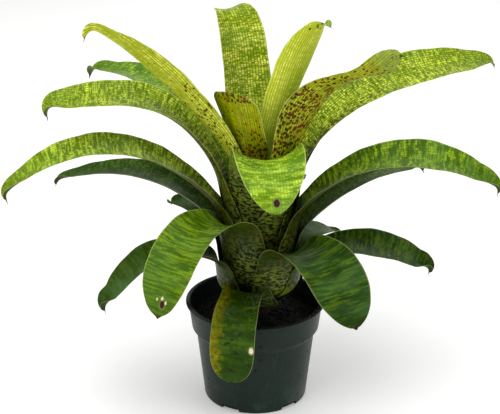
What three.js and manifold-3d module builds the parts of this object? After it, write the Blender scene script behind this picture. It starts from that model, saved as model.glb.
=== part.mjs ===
// A bromeliad growing in a round nursery pot.
// Millimetres, +Z up, the foot of the pot on z = 0 and the pot's middle on the Z axis.
import * as THREE from "three";
import Module from "manifold-3d";
import { mergeVertices } from "three/addons/utils/BufferGeometryUtils.js";

const solids = await Module();
solids.setup();

// ---------------------------------------------------------------- driving dimensions
const CLEARANCE = 0.3;

const POT_HEIGHT = 114;
const LIP_RADIUS = 77;
const LIP_THICKNESS = 2;
const LIP_OVERHANG = 3;
const BAND_HEIGHT = 29;
const BAND_TAPER = 3.5;
const SHOULDER_HEIGHT = 7;
const SHOULDER_STEP = 5;
const BODY_TAPER = 8.5;
const FOOT_ROUND = 3;
const WALL = 1.8;
const FLOOR = 2.2;
const SLOT_COUNT = 5;
const SLOT_WIDTH = 22;
const SLOT_HEIGHT = 6;
const SLOT_REACH = 8;
const FIRST_SLOT_TURN = 240;

const MIX_DEPTH = 17;
const MIX_MOUND = 4;

const STEM_X = 4;
const STEM_RADIUS = 13;
const STEM_BURIED = 30;
const COLLAR_SWELL = 1.5;
const COLLAR_ABOVE_MIX = 16;
const CROWN_RADIUS = 5;

const LEAF_THICKNESS = 1;
const LEAF_GAP = 0.6;
const RIM_CLEARANCE = 20.6;
const HEART_RADIUS = 6;
const VASE_SLACK = 20;
const VASE_CROWDING = 0.53;
const BOWL_HEIGHT = 20;
const FLARE_FROM = 8;
const FLARE_HEIGHT = 165;
const FLARE = 27;
const FLARE_POWER = 1.4;
const HEART_FLARE = 0.35;
const FULL_FLARE_ORDER = 5;
const SHEATH_HALF_WIDTH = 36;
const SHEATH_WRAP = 75;
const LAST_ORDER = 23;

// Each leaf, from the heart outwards. `order` counts outwards, `turn` is the way it points
// (0 is +X, 90 is +Y), `height` is how far above the collar the blade leaves the vase, `length`
// and `width` are the blade's. `lean` is how steeply the blade climbs and `cup` how far each half of
// it is bent up, both in degrees at equal steps along the blade. `swing` turns the blade sideways
// and `roll` twists it. `hook` is the extra bend of the last part of the tip. `overRim` marks the
// leaf that hangs over the rim of the pot.
const LEAVES = [
  {
    name: "heart", order: 1, turn: 224, height: 149, length: 100, width: 66,
    lean: [76, 76, 75, 76], cup: [60, 40, 24], roll: [0, 0, -3, -6], hook: 0, point: 8,
  },
  {
    name: "upper_right", order: 0, turn: 330, height: 153, length: 188, width: 56,
    lean: [77, 73, 69, 58], cup: [60, 60, 30], roll: [0, 10, 20, 10], hook: 95, hookFrom: 0.9,
  },
  {
    name: "upper_left", order: 2, turn: 194, height: 146, length: 242, width: 58,
    lean: [66, 51, 45, 28], cup: [60, 60, 30], roll: [0, -15, -22, -15], hook: 95, hookFrom: 0.91,
  },
  {
    name: "top", order: 3, turn: 107, height: 153, length: 180, width: 57,
    lean: [80, 79, 75, 30], cup: [45, 30, 20], swing: [0, 9, 20], hook: 80, hookFrom: 0.84,
    point: 6,
  },
  {
    name: "right_spotted", order: 4, turn: 326, height: 169, length: 194, width: 60,
    lean: [80, 58, 27, 48], cup: [60, 45, 15], roll: [0, 20, 22, 90], hook: 40, peak: 0.3,
  },
  {
    name: "front_top", order: 5, turn: 278, height: 166, length: 96, width: 82,
    lean: [50, 0, -48, -55], cup: [50, 25, 10], hook: 0, peak: 0.12, neck: 1, point: 2, sheath: 42,
  },
  {
    name: "right_high", order: 6, turn: 19, height: 139, length: 281, width: 55,
    lean: [70, 34, 9, -8], cup: [42, 28, 15], roll: [0, -12, -24, -20], hook: 50, hookFrom: 0.94,
  },
  {
    name: "left_high", order: 7, turn: 182, height: 131, length: 244, width: 58,
    lean: [74, 46, 2, -12], cup: [50, 35, 20], roll: [0, 6, 12, 12], hook: 80, hookFrom: 0.9,
    point: 4,
  },
  {
    name: "left_back", order: 8, turn: 146, height: 125, length: 238, width: 58,
    lean: [64, 44, 10, -14], cup: [40, 35, 20], hook: 50,
  },
  {
    name: "right_back", order: 9, turn: 42, height: 123, length: 190, width: 56,
    lean: [64, 42, 17, -8], cup: [40, 35, 20], hook: 50,
  },
  {
    name: "back_mid", order: 10, turn: 106, height: 97, length: 195, width: 56,
    lean: [44, 18, -10, -42], cup: [38, 35, 20], hook: 40,
  },
  {
    name: "left_mid", order: 11, turn: 190, height: 95, length: 285, width: 56,
    lean: [58, 32, -10, -50], cup: [45, 30, 20], roll: [0, 4, 6, 5], hook: 50, hookFrom: 0.95,
  },
  {
    name: "right_mid", order: 12, turn: 353, height: 91, length: 256, width: 58,
    lean: [58, 30, -5, -40], cup: [45, 30, 20], roll: [0, -6, -14, -10], hook: 50, hookFrom: 0.95,
  },
  {
    name: "front_left", order: 13, turn: 231, height: 83, length: 174, width: 65,
    lean: [54, 2, -48, -70], cup: [45, 25, 15], hook: 0, point: 4, neck: 0.95,
  },
  {
    name: "left_under", order: 14, turn: 170, height: 73, length: 216, width: 54,
    lean: [54, 28, -2, -24], cup: [45, 35, 20], hook: 40, point: 1.9,
  },
  {
    name: "right_under", order: 15, turn: 16, height: 67, length: 172, width: 58,
    lean: [48, 34, 14, -10], cup: [40, 35, 20], hook: 40,
  },
  {
    name: "back_right", order: 16, turn: 78, height: 59, length: 180, width: 54,
    lean: [38, 10, -18, -46], cup: [40, 35, 20], hook: 40,
  },
  {
    name: "back_left", order: 17, turn: 151, height: 57, length: 86, width: 50,
    lean: [54, 36, 12, -14], cup: [40, 35, 20], hook: 60,
  },
  {
    name: "front_right", order: 18, turn: 308, height: 55, length: 148, width: 77,
    lean: [46, 2, -42, -54], cup: [45, 25, 15], hook: 0, point: 3.4,
  },
  {
    name: "right_low", order: 19, turn: 352, height: 33, length: 164, width: 56,
    lean: [44, 14, -10, -36], cup: [40, 30, 15], roll: [0, -5, -10, -10], hook: 55,
  },
  {
    name: "left_low", order: 20, turn: 200, height: 38, length: 166, width: 58,
    lean: [44, 8, -34, -60], cup: [40, 30, 15], hook: 30,
  },
  {
    name: "back_low", order: 21, turn: 112, height: 32, length: 150, width: 54,
    lean: [38, 8, -24, -50], cup: [40, 30, 15], hook: 30,
  },
  {
    name: "back_low_right", order: 22, turn: 46, height: 30, length: 110, width: 50,
    lean: [40, 8, -18, -40], cup: [40, 30, 15], hook: 30,
  },
  {
    name: "front_low", order: 23, turn: 254, height: 22, length: 119, width: 50,
    lean: [12, -38, -77, -86], cup: [40, 25, 10], hook: 0, point: 5, soft: 14,
    overRim: true,
  },
];

// A midrib is worked out in close steps, and a leaf's sections stand further apart along it.
const BOWL_STEPS = 30;
const WALL_STEPS = 30;
const BLADE_STEPS = 240;
const BOWL_SECTIONS = 4;
const WALL_SECTIONS = 3;
const BLADE_SECTIONS = 9;
const LEAF_STRIPS = 8;

// ---------------------------------------------------------------- finishes
const POT_LOOK = { color: 0x2b3a37, roughness: 0.45, metalness: 0 };
const MIX_LOOK = { color: 0x14100d, roughness: 0.95, metalness: 0 };
const STEM_LOOK = { color: 0x2a1e14, roughness: 0.9, metalness: 0 };
const NEW_LEAF = new THREE.Color(0xa3b51e);
const OLD_LEAF = new THREE.Color(0x3c5418);

// ---------------------------------------------------------------- small tools
const rad = THREE.MathUtils.degToRad;
const clamp = THREE.MathUtils.clamp;
const mix = THREE.MathUtils.lerp;

// 0 up to a, 1 from b, and a smooth step between them.
function ease(a, b, x) {
  const t = clamp((x - a) / (b - a), 0, 1);
  return t * t * (3 - 2 * t);
}

// A smooth curve through values at equal steps over 0..1, with no overshoot between them.
function curve(values, t) {
  const last = values.length - 1;
  const gaps = values.slice(1).map((v, i) => v - values[i]);
  const slope = (i) => {
    if (i === 0) return gaps[0];
    if (i === last) return gaps[last - 1];
    const [a, b] = [gaps[i - 1], gaps[i]];
    return a * b > 0 ? (2 * a * b) / (a + b) : 0;
  };
  const i = Math.min(Math.floor(clamp(t, 0, 1) * last), last - 1);
  const x = clamp(t, 0, 1) * last - i;
  const rise = x * x * (3 - 2 * x);
  const out = x * (1 - x) * (1 - x);
  const back = x * x * (x - 1);
  return values[i] + rise * gaps[i] + out * slope(i) + back * slope(i + 1);
}

// A geometry's closed surface as a solid that can be cut, and a solid as a geometry again.
function toSolid(geometry) {
  const bare = new THREE.BufferGeometry();
  bare.setAttribute("position", geometry.getAttribute("position"));
  bare.setIndex(geometry.index);
  const merged = mergeVertices(bare, 1e-3);
  return new solids.Manifold(
    new solids.Mesh({
      numProp: 3,
      vertProperties: merged.attributes.position.array,
      triVerts: new Uint32Array(merged.index.array),
    }),
  );
}

function toGeometry(solid) {
  const { vertProperties, triVerts } = solid.getMesh();
  const geometry = new THREE.BufferGeometry();
  geometry.setAttribute("position", new THREE.BufferAttribute(vertProperties, 3));
  geometry.setIndex(new THREE.BufferAttribute(triVerts, 1));
  return geometry.toNonIndexed();
}

// A solid of revolution about +Z from [radius, height] pairs.
function turned(profile, segments) {
  const points = profile.map(([radius, height]) => new THREE.Vector2(radius, height));
  return new THREE.LatheGeometry(points, segments).rotateX(Math.PI / 2);
}

function mesh(name, geometry, look) {
  geometry.computeVertexNormals();
  const made = new THREE.Mesh(geometry, new THREE.MeshStandardMaterial(look));
  made.name = name;
  return made;
}

// ---------------------------------------------------------------- pot
const BAND_TOP_RADIUS = LIP_RADIUS - LIP_OVERHANG;
const BAND_FOOT_RADIUS = BAND_TOP_RADIUS - BAND_TAPER;
const BODY_TOP_RADIUS = BAND_FOOT_RADIUS - SHOULDER_STEP;
const FOOT_RADIUS = BODY_TOP_RADIUS - BODY_TAPER;
const BAND_FOOT_HEIGHT = POT_HEIGHT - BAND_HEIGHT;
const BODY_TOP_HEIGHT = BAND_FOOT_HEIGHT - SHOULDER_HEIGHT;

// Half a cosine wave carries the body out into the band above it.
const shoulder = Array.from({ length: 5 }, (_, i) => {
  const t = i / 4;
  const radius = mix(BODY_TOP_RADIUS, BAND_FOOT_RADIUS, (1 - Math.cos(Math.PI * t)) / 2);
  return [radius, mix(BODY_TOP_HEIGHT, BAND_FOOT_HEIGHT, t)];
});
const footRound = Array.from({ length: 4 }, (_, i) => {
  const turn = (Math.PI / 2) * (i / 3);
  const radius = FOOT_RADIUS - FOOT_ROUND * (1 - Math.sin(turn));
  return [radius, FOOT_ROUND * (1 - Math.cos(turn))];
});
const inside = shoulder.map(([radius, height]) => [radius - WALL, height]);
const potProfile = [
  [0, 0],
  ...footRound,
  ...shoulder,
  [BAND_TOP_RADIUS, POT_HEIGHT - LIP_THICKNESS],
  [LIP_RADIUS, POT_HEIGHT - LIP_THICKNESS],
  [LIP_RADIUS, POT_HEIGHT],
  [BAND_TOP_RADIUS - WALL, POT_HEIGHT],
  ...[...inside].reverse(),
  [FOOT_RADIUS - WALL, FLOOR],
  [0, FLOOR],
];

// The drain slots are cut through the foot, half in the wall and half in the floor.
let pot = toSolid(turned(potProfile, 48));
for (let i = 0; i < SLOT_COUNT; i += 1) {
  const reach = SLOT_REACH + WALL + FOOT_ROUND;
  const cutter = new THREE.BoxGeometry(reach, SLOT_WIDTH, SLOT_HEIGHT + FOOT_ROUND);
  cutter.translate(FOOT_RADIUS + WALL - reach / 2, 0, (SLOT_HEIGHT - FOOT_ROUND) / 2);
  cutter.rotateZ(rad(FIRST_SLOT_TURN + (360 * i) / SLOT_COUNT));
  pot = pot.subtract(toSolid(cutter));
}

// ---------------------------------------------------------------- potting mix and stem
const mixHeight = POT_HEIGHT - MIX_DEPTH;
const rimInside = BAND_TOP_RADIUS - WALL;
const bandInside = BAND_FOOT_RADIUS - WALL;
const mixRadius = mix(bandInside, rimInside, (mixHeight - BAND_FOOT_HEIGHT) / BAND_HEIGHT);
const mixProfile = [
  [0, FLOOR + CLEARANCE],
  [FOOT_RADIUS - WALL - CLEARANCE, FLOOR + CLEARANCE],
  ...inside.map(([radius, height]) => [radius - CLEARANCE, height]),
  [mixRadius - CLEARANCE, mixHeight],
  [mixRadius * 0.55, mixHeight + MIX_MOUND * 0.7],
  [mixRadius * 0.25, mixHeight + MIX_MOUND],
  [0, mixHeight + MIX_MOUND],
];
const stemFoot = mixHeight - STEM_BURIED;
const pocketHeight = STEM_BURIED + 2 * MIX_MOUND;
const pocket = new THREE.CylinderGeometry(
  STEM_RADIUS + CLEARANCE,
  STEM_RADIUS + CLEARANCE,
  pocketHeight,
  32,
);
pocket.rotateX(Math.PI / 2);
pocket.translate(STEM_X, 0, stemFoot - CLEARANCE + pocketHeight / 2);
const pottingMix = toSolid(turned(mixProfile, 48)).subtract(toSolid(pocket));

// The stem tapers from the collar under the lowest leaf to the crown inside the heart.
const collarRadius = STEM_RADIUS + COLLAR_SWELL;
const collarHeight = mixHeight + MIX_MOUND + COLLAR_ABOVE_MIX;
const leafRise = LEAF_THICKNESS + LEAF_GAP;
const crownHeight = collarHeight + LAST_ORDER * leafRise;
const stem = turned(
  [
    [0, stemFoot],
    [STEM_RADIUS - 2, stemFoot],
    [STEM_RADIUS, stemFoot + 4],
    [STEM_RADIUS, mixHeight + MIX_MOUND + 6],
    [collarRadius - 2 * CLEARANCE, collarHeight],
    [CROWN_RADIUS - 2 * CLEARANCE, crownHeight],
    [0, crownHeight + 2],
  ],
  32,
);
stem.translate(STEM_X, 0, 0);

// ---------------------------------------------------------------- leaves
// How far a leaf's sheath has flared out at a height. The leaves of the heart stay closer in.
function flare(leaf, z) {
  const share = mix(HEART_FLARE, 1, Math.min(leaf.order / FULL_FLARE_ORDER, 1));
  const rise = z - collarHeight - FLARE_FROM;
  return share * FLARE * Math.max(rise / FLARE_HEIGHT, 0) ** FLARE_POWER;
}

// The sheath's run up the vase as [radius, height] pairs: from the stem it swings out as a quarter
// ellipse, the bowl, and then it climbs the wall. Leaves of a higher order are further out.
function sheathRun(leaf) {
  const share = leaf.order / LAST_ORDER;
  const packed = leaf.order * LEAF_THICKNESS + VASE_SLACK * share ** VASE_CROWDING;
  const wall = HEART_RADIUS + packed;
  const collar = mix(CROWN_RADIUS, collarRadius, share);
  const foot = collarHeight + (LAST_ORDER - leaf.order) * leafRise;
  const run = [];
  for (let i = 0; i <= BOWL_STEPS; i += 1) {
    const turn = rad(90) * (i / BOWL_STEPS);
    const z = foot + BOWL_HEIGHT * (1 - Math.cos(turn));
    run.push([mix(collar, wall, Math.sin(turn)) + flare(leaf, z), z]);
  }
  for (let i = 1; i <= WALL_STEPS; i += 1) {
    const z = mix(foot + BOWL_HEIGHT, collarHeight + leaf.height, i / WALL_STEPS);
    run.push([wall + flare(leaf, z), z]);
  }
  return run;
}

// A blade that hangs over the pot's rim is shifted outwards, little by little up to the place where
// it comes down past the lip, so that it passes the lip by the rim clearance.
function reachOverRim(places, first) {
  const past = places.findIndex((place, i) => i >= first && place.z < POT_HEIGHT);
  const { x, y } = places[past];
  const lead = LIP_RADIUS + RIM_CLEARANCE - Math.hypot(x, y);
  places.slice(first).forEach((place, i) => {
    const share = Math.min((i + 1) / (past - first + 1), 1);
    place.x += lead * share * Math.cos(rad(place.bearing));
    place.y += lead * share * Math.sin(rad(place.bearing));
  });
}

// The leaf's midrib from the stem to the tip, as close places that each know how steeply the rib
// climbs, which way it points, how far the leaf is rolled and how wide the vase is there.
function midrib(leaf) {
  const { turn, length, lean, hook = 40, hookFrom = 0.93 } = leaf;
  const { swing = [0, 0], roll = [0, 0], soft = 22 } = leaf;
  const way = rad(turn);
  const run = sheathRun(leaf);
  const places = run.map(([radius, z], i) => {
    const [r0, z0] = run[Math.max(i - 1, 0)];
    const [r1, z1] = run[Math.min(i + 1, run.length - 1)];
    const climb = THREE.MathUtils.radToDeg(Math.atan2(z1 - z0, r1 - r0));
    const [x, y] = [STEM_X + radius * Math.cos(way), radius * Math.sin(way)];
    return { x, y, z, climb, bearing: turn, roll: 0, radius };
  });
  const edge = places[places.length - 1];
  let { x, y, z } = edge;
  const step = length / BLADE_STEPS;
  for (let i = 1; i <= BLADE_STEPS; i += 1) {
    const t = i / BLADE_STEPS;
    const bend = hook * ease(hookFrom, 1, t) ** 1.2;
    const climb = mix(edge.climb, curve(lean, t) - bend, ease(0, soft / length, t));
    const bearing = turn + curve(swing, t);
    x += step * Math.cos(rad(climb)) * Math.cos(rad(bearing));
    y += step * Math.cos(rad(climb)) * Math.sin(rad(bearing));
    z += step * Math.sin(rad(climb));
    places.push({ x, y, z, climb, bearing, roll: curve(roll, t), radius: edge.radius });
  }
  if (leaf.overRim) reachOverRim(places, run.length);
  let along = 0;
  places.forEach((place, i) => {
    const before = places[Math.max(i - 1, 0)];
    along += Math.hypot(place.x - before.x, place.y - before.y, place.z - before.z);
    place.along = along;
  });
  return { places, bowl: places[BOWL_STEPS].along, sheath: edge.along, total: along };
}

// The midrib's place at a distance along it, between two of the close places.
function placeAt(places, along) {
  const next = clamp(
    places.findIndex((place) => place.along >= along),
    1,
    places.length - 1,
  );
  const [a, b] = [places[next - 1], places[next]];
  const t = clamp((along - a.along) / (b.along - a.along), 0, 1);
  return Object.fromEntries(Object.keys(a).map((key) => [key, mix(a[key], b[key], t)]));
}

// One cross-section of a leaf, a circular arc lying across the midrib. In the sheath the arc is
// level and has the vase's own radius; in the blade it is square to the midrib and each half is
// bent up by the leaf's `cup`. The first list runs along the upper face, the second the lower.
function section(leaf, rib, along) {
  const { length, width, cup, neck = 0.8, peak = 0.45, point = 2.6 } = leaf;
  const { sheath = SHEATH_HALF_WIDTH } = leaf;
  const past = along - rib.sheath;
  const t = past / length;
  const place = placeAt(rib.places, along);
  const [climb, bearing, roll] = [rad(place.climb), rad(place.bearing), rad(place.roll)];
  const square = ease(-0.1, 0.06, t);
  const across = new THREE.Vector3(-Math.sin(bearing), Math.cos(bearing), 0);
  const inward = new THREE.Vector3(-Math.cos(bearing), -Math.sin(bearing), 0);
  const up = inward.clone().multiplyScalar(Math.sin(climb));
  up.z = Math.cos(climb);
  const level = inward.clone().lerp(up, square).normalize();
  const face = level.clone().multiplyScalar(Math.cos(roll)).addScaledVector(across, Math.sin(roll));
  const side = across.clone().multiplyScalar(Math.cos(roll)).addScaledVector(level, -Math.sin(roll));

  const u = clamp(t, 0, 1);
  const swell = mix(neck, 1, ease(-0.05, peak, u));
  const narrowing = clamp((u - peak) / (1 - peak), 0, 1) ** point;
  const blade = (width / 2) * swell * Math.max((1 - narrowing) ** 0.62, 0.03);
  const wrap = Math.min(sheath, rad(SHEATH_WRAP) * place.radius);
  const half = mix(wrap, blade, ease(-25, 30, past));
  const bladeBend = rad(curve(cup, u)) / Math.max(blade, 1);
  const bend = mix(1 / place.radius, bladeBend, ease(0, 50, past));

  const upper = [];
  const lower = [];
  for (let i = 0; i <= LEAF_STRIPS; i += 1) {
    const angle = mix(-half, half, i / LEAF_STRIPS) * bend;
    const spot = new THREE.Vector3(place.x, place.y, place.z);
    spot.addScaledVector(face, (1 - Math.cos(angle)) / bend);
    spot.addScaledVector(side, Math.sin(angle) / bend);
    const out = face.clone().multiplyScalar(-Math.cos(angle)).addScaledVector(side, Math.sin(angle));
    out.multiplyScalar(mix(Math.sin(climb), 1, square));
    out.z -= Math.cos(climb) * (1 - square);
    upper.push(spot);
    lower.push(spot.clone().addScaledVector(out.normalize(), LEAF_THICKNESS));
  }
  return [upper, lower];
}

// The sections joined into one closed leaf: both faces, both edges, the foot and the tip.
function leafGeometry(leaf) {
  const rib = midrib(leaf);
  const steps = (from, to, count) =>
    Array.from({ length: count }, (_, i) => mix(from, to, i / count));
  const stations = [
    ...steps(0, rib.bowl, BOWL_SECTIONS),
    ...steps(rib.bowl, rib.sheath, WALL_SECTIONS),
    ...steps(rib.sheath, rib.total, BLADE_SECTIONS),
    rib.total,
  ];
  const rings = stations.map((along) => {
    const [upper, lower] = section(leaf, rib, along);
    return [...upper, ...lower.reverse()];
  });
  const last = rings.length - 1;
  const around = 2 * (LEAF_STRIPS + 1);
  const at = (ring, i) => ring * around + (i % around);
  const faces = [];
  const quad = (a, b, c, d) => faces.push(a, c, b, a, d, c);
  for (let ring = 0; ring < last; ring += 1) {
    for (let i = 0; i < around; i += 1) {
      quad(at(ring, i), at(ring, i + 1), at(ring + 1, i + 1), at(ring + 1, i));
    }
  }
  for (let i = 0; i < LEAF_STRIPS; i += 1) {
    const far = around - 1 - i;
    quad(at(0, i), at(0, far), at(0, far - 1), at(0, i + 1));
    quad(at(last, i), at(last, i + 1), at(last, far - 1), at(last, far));
  }
  const geometry = new THREE.BufferGeometry().setFromPoints(rings.flat());
  geometry.setIndex(faces);
  return geometry;
}

// ---------------------------------------------------------------- the whole plant
const plant = new THREE.Group();
plant.name = "potted_bromeliad";
plant.add(mesh("pot", toGeometry(pot), POT_LOOK));
plant.add(mesh("potting_mix", toGeometry(pottingMix), MIX_LOOK));
plant.add(mesh("stem", stem, STEM_LOOK));

const leaves = new THREE.Group();
leaves.name = "rosette";
for (const leaf of LEAVES) {
  const color = NEW_LEAF.clone().lerp(OLD_LEAF, leaf.order / LAST_ORDER);
  leaves.add(mesh(leaf.name, leafGeometry(leaf), { color, roughness: 0.4, metalness: 0 }));
}
plant.add(leaves);

export default plant;
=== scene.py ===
import math

import bpy
import numpy as np
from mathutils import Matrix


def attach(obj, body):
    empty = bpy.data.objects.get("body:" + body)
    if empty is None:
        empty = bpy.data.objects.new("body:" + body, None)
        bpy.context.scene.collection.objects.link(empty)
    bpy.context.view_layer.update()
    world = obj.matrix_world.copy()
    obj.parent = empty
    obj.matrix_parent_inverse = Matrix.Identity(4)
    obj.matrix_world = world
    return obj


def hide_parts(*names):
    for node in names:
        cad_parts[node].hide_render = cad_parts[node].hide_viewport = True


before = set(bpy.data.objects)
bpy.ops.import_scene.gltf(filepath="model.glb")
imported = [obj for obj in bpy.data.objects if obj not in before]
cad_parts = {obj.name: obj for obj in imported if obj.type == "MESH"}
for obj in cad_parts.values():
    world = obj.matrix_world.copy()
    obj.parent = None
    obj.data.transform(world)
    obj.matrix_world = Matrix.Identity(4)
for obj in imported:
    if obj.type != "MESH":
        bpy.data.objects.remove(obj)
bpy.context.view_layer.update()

# ---------------------------------------------------------------- nursery pot
# A round plastic growing pot, injection moulded in dark green in one piece: tapered body, a taller
# straight band under a thin turned-out lip, and five drain slots half in the wall, half in the floor.
MM = 0.001
POT_HEIGHT = 114.0
LIP_RADIUS = 77.0
LIP_THICKNESS = 2.0
BAND_TOP_RADIUS = 74.0
BAND_FOOT_RADIUS = 70.5
BAND_HEIGHT = 29.0
SHOULDER_HEIGHT = 7.0
BODY_TOP_RADIUS = 65.5
FOOT_RADIUS = 57.0
FOOT_ROUND = 3.0
POT_WALL = 1.8
POT_FLOOR = 2.2
SLOT_COUNT = 5
SLOT_WIDTH = 22.0
SLOT_HEIGHT = 6.0
SLOT_REACH = 8.0
FIRST_SLOT_TURN = 240.0
SLOT_SQUARENESS = 0.35
CUTTER_SIDES = 40
LIP_EDGE_DEPTH = 12.0
LIP_TAPER = 0.6
LIP_EDGE_ROUND = 0.7
UNDERSIDE_RING = 30.0
POT_SEGMENTS = 240
POT_SHARP_ANGLE = 38
POT_GREEN = "#14211a"
POT_GREEN_WORN = "#1a2a23"
POT_PALE = "#44524c"
MUD = "#0f0c09"


def tint(code):
    """A colour written as #rrggbb turned into the linear values that a shader takes."""
    parts = np.array([int(code[i : i + 2], 16) for i in (1, 3, 5)]) / 255
    linear = np.where(parts <= 0.04045, parts / 12.92, ((parts + 0.055) / 1.055) ** 2.4)
    return (*linear.tolist(), 1.0)


def add(tree, kind, *values, out=0, **settings):
    """Adds a shader node with its settings, fills its inputs in order (a value or another node's
    output, None leaves one alone) and gives back one of its outputs."""
    node = tree.nodes.new("ShaderNode" + kind)
    for key, value in settings.items():
        setattr(node, key, value)
    for place, value in enumerate(values):
        fill(tree, node.inputs[place], value)
    return node.outputs[out]


def fill(tree, socket, value):
    """Links an output to an input socket, or sets the input's own value."""
    if isinstance(value, bpy.types.NodeSocket):
        tree.links.new(value, socket)
    elif value is not None:
        socket.default_value = value


def sums(tree, operation, a, b=None, c=None, clamp=False):
    """One Math node on one, two or three values."""
    return add(tree, "Math", a, b, c, operation=operation, use_clamp=clamp)


def blend(tree, share, first, second, kind="MIX"):
    """Colour `first` where share is 0 and `second` where it is 1, or mixed by another kind."""
    node = tree.nodes.new("ShaderNodeMix")
    node.data_type = "RGBA"
    node.blend_type = kind
    for place, value in ((0, share), (6, first), (7, second)):
        fill(tree, node.inputs[place], value)
    return node.outputs[2]


def ramp(tree, value, low, high, bottom=0.0, top=1.0):
    """Carries low..high smoothly to bottom..top and stays level outside."""
    return add(tree, "MapRange", value, low, high, bottom, top, interpolation_type="SMOOTHSTEP")


def dent(tree, shader, height, strength, depth):
    """Bumps a shader's surface by a height between 0 and 1, `depth` metres at full strength."""
    bump = tree.nodes.new("ShaderNodeBump")
    for key, value in (("Strength", strength), ("Distance", depth), ("Height", height)):
        fill(tree, bump.inputs[key], value)
    fill(tree, shader.inputs["Normal"], bump.outputs[0])


def new_group(name, inputs, outputs):
    """An empty shader group with named sockets; an input's default gives its kind."""
    tree = bpy.data.node_groups.new(name, "ShaderNodeTree")
    for key, value in inputs.items():
        kind = "NodeSocketVector" if isinstance(value, tuple) else "NodeSocketFloat"
        socket = tree.interface.new_socket(key, in_out="INPUT", socket_type=kind)
        socket.default_value = value
    for key in outputs:
        tree.interface.new_socket(key, in_out="OUTPUT", socket_type="NodeSocketFloat")
    return tree, tree.nodes.new("NodeGroupInput"), tree.nodes.new("NodeGroupOutput")


def use(tree, group, **values):
    """Places a group in a material with this finish's own values and gives back its outputs."""
    node = tree.nodes.new("ShaderNodeGroup")
    node.node_tree = group
    for key, value in values.items():
        fill(tree, node.inputs[key], value)
    return node.outputs


def new_finish(name, **constants):
    """A material with its Principled shader's own constants set; gives material, tree, shader."""
    finish = bpy.data.materials.new(name)
    finish.use_nodes = True
    shader = finish.node_tree.nodes["Principled BSDF"]
    for key, value in constants.items():
        shader.inputs[key.replace("_", " ")].default_value = value
    return finish, finish.node_tree, shader


def new_piece(name, points, faces, finish, nodes=(), sharp=None):
    """A mesh piece from points in mm, shaded smooth, riding the body and named as given; the CAD nodes it
    stands for are hidden.
    """
    form = bpy.data.meshes.new(name)
    form.from_pydata((points * MM).tolist(), [], faces)
    form.shade_smooth()
    if sharp is not None:
        form.set_sharp_from_angle(angle=math.radians(sharp))
    form.materials.append(finish)
    piece = bpy.data.objects.new(name, form)
    bpy.context.scene.collection.objects.link(piece)
    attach(piece, "root")
    if nodes:
        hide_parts(*nodes)
    return piece


def ring_quads(count, around):
    """Quads from each ring of points to the next, for rings of `around` points laid in a row."""
    ring, step = np.meshgrid(np.arange(count - 1), np.arange(around), indexing="ij")
    a, b = ring * around + step, ring * around + (step + 1) % around
    return np.stack([a, b, b + around, a + around], -1).reshape(-1, 4).tolist()


def fan(pole, ring):
    """Triangles from a pole to every side of a ring, both given by their points' numbers."""
    return np.stack([np.full(len(ring), pole), ring, np.roll(ring, -1)], -1).tolist()


def closed_rings(rings, foot, top):
    """A closed skin over rings of points, one ring a row, with a pole before the first ring and a
    pole after the last."""
    count, around = rings.shape[:2]
    points = np.vstack([rings.reshape(-1, 3), foot, top])
    ring = np.arange(around)
    ends = fan(len(points) - 2, ring[::-1]) + fan(len(points) - 1, (count - 1) * around + ring)
    return points, ring_quads(count, around) + ends


def turned(profile, segments):
    """A solid of revolution about +Z from [radius, height] pairs that start and end on the axis:
    every inner pair becomes a ring, the two axis points become poles."""
    profile = np.asarray(profile, float)
    turn = np.linspace(0, 2 * np.pi, segments, endpoint=False)
    radius, height = profile[1:-1, :1], profile[1:-1, 1:]
    rings = np.stack([radius * np.cos(turn), radius * np.sin(turn), height + 0 * turn], -1)
    return closed_rings(rings, [0, 0, profile[0, 1]], [0, 0, profile[-1, 1]])


def rounded(profile, radius, steps=4):
    """A profile with every corner rounded: the corner becomes a quadratic curve from a point
    `radius` (at most a third of the side) before it to one as far after it."""
    points = [np.array(p, float) for p in profile]
    made = [points[0]]
    for before, corner, after in zip(points, points[1:], points[2:]):
        one, two = before - corner, after - corner
        first = corner + one * min(radius / np.linalg.norm(one), 0.33)
        last = corner + two * min(radius / np.linalg.norm(two), 0.33)
        for t in np.linspace(0, 1, steps):
            made.append((1 - t) ** 2 * first + 2 * t * (1 - t) * corner + t * t * last)
    return [*made, points[-1]]


def weathering():
    """Shader group for dirt: soft smears from one slow noise over a quick one, and small specks
    where a cell's own random size passes its distance."""
    tree, given, made = new_group(
        "weathering", {"Place": (0.0, 0.0, 0.0), "Scale": 1.0}, ["Smears", "Specks", "Grain"]
    )
    place, scale = given.outputs["Place"], given.outputs["Scale"]
    wide = add(tree, "TexNoise", place, None, sums(tree, "MULTIPLY", scale, 28.0), 5.0, 0.6)
    smears = ramp(tree, wide, 0.5, 0.72)
    cells = tree.nodes.new("ShaderNodeTexVoronoi")
    fill(tree, cells.inputs["Vector"], place)
    fill(tree, cells.inputs["Scale"], sums(tree, "MULTIPLY", scale, 190.0))
    chance = add(tree, "SeparateColor", cells.outputs["Color"])
    size = ramp(tree, chance, 0.75, 1.0, 0.0, 0.34)
    specks = ramp(tree, sums(tree, "SUBTRACT", size, cells.outputs["Distance"]), 0.0, 0.08)
    grain = add(tree, "TexNoise", place, None, sums(tree, "MULTIPLY", scale, 900.0), 3.0, 0.6)
    fill(tree, made.inputs["Smears"], smears)
    fill(tree, made.inputs["Specks"], specks)
    fill(tree, made.inputs["Grain"], grain)
    return tree


dirt = weathering()

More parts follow.
